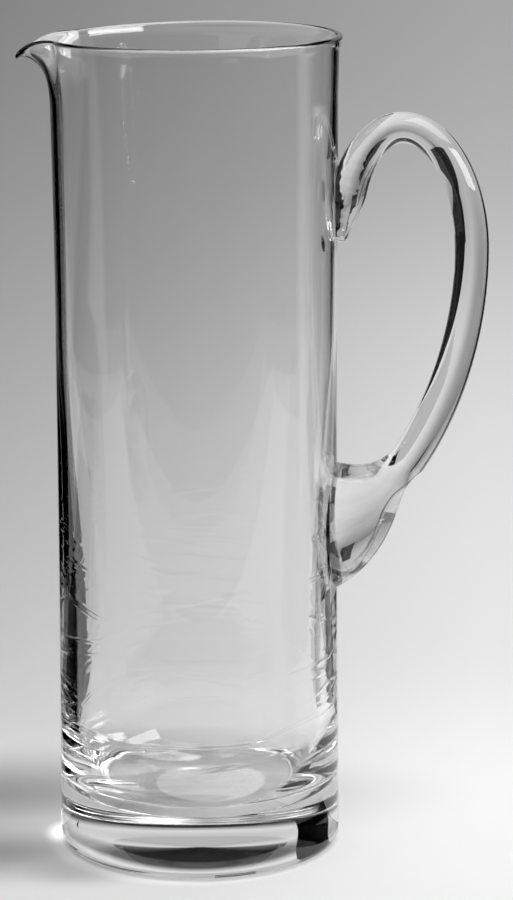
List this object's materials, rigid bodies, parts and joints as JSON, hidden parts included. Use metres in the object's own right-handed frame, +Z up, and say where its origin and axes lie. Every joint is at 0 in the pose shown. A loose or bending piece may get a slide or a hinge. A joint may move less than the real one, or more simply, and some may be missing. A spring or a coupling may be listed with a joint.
{
  "type": "martini pitcher",
  "caption": "Tall cylindrical clear glass pitcher with a heavy base, a pulled pouring lip and an applied solid glass loop handle, for mixing and pouring drinks.",
  "frame": {"origin": "centre of the flat underside of the base, on the body's axis", "axes": "+Z up along the body's axis, +X towards the handle, -X towards the pouring lip"},
  "size_m": [0.1501, 0.0924, 0.2645],
  "materials": {
    "body_glass": "clear blown glass, fire-polished",
    "handle_glass": "clear drawn glass, fire-polished"
  },
  "bodies": {
    "root": {"pitcher_body": "body_glass", "handle": "handle_glass"}
  },
  "joints": []
}
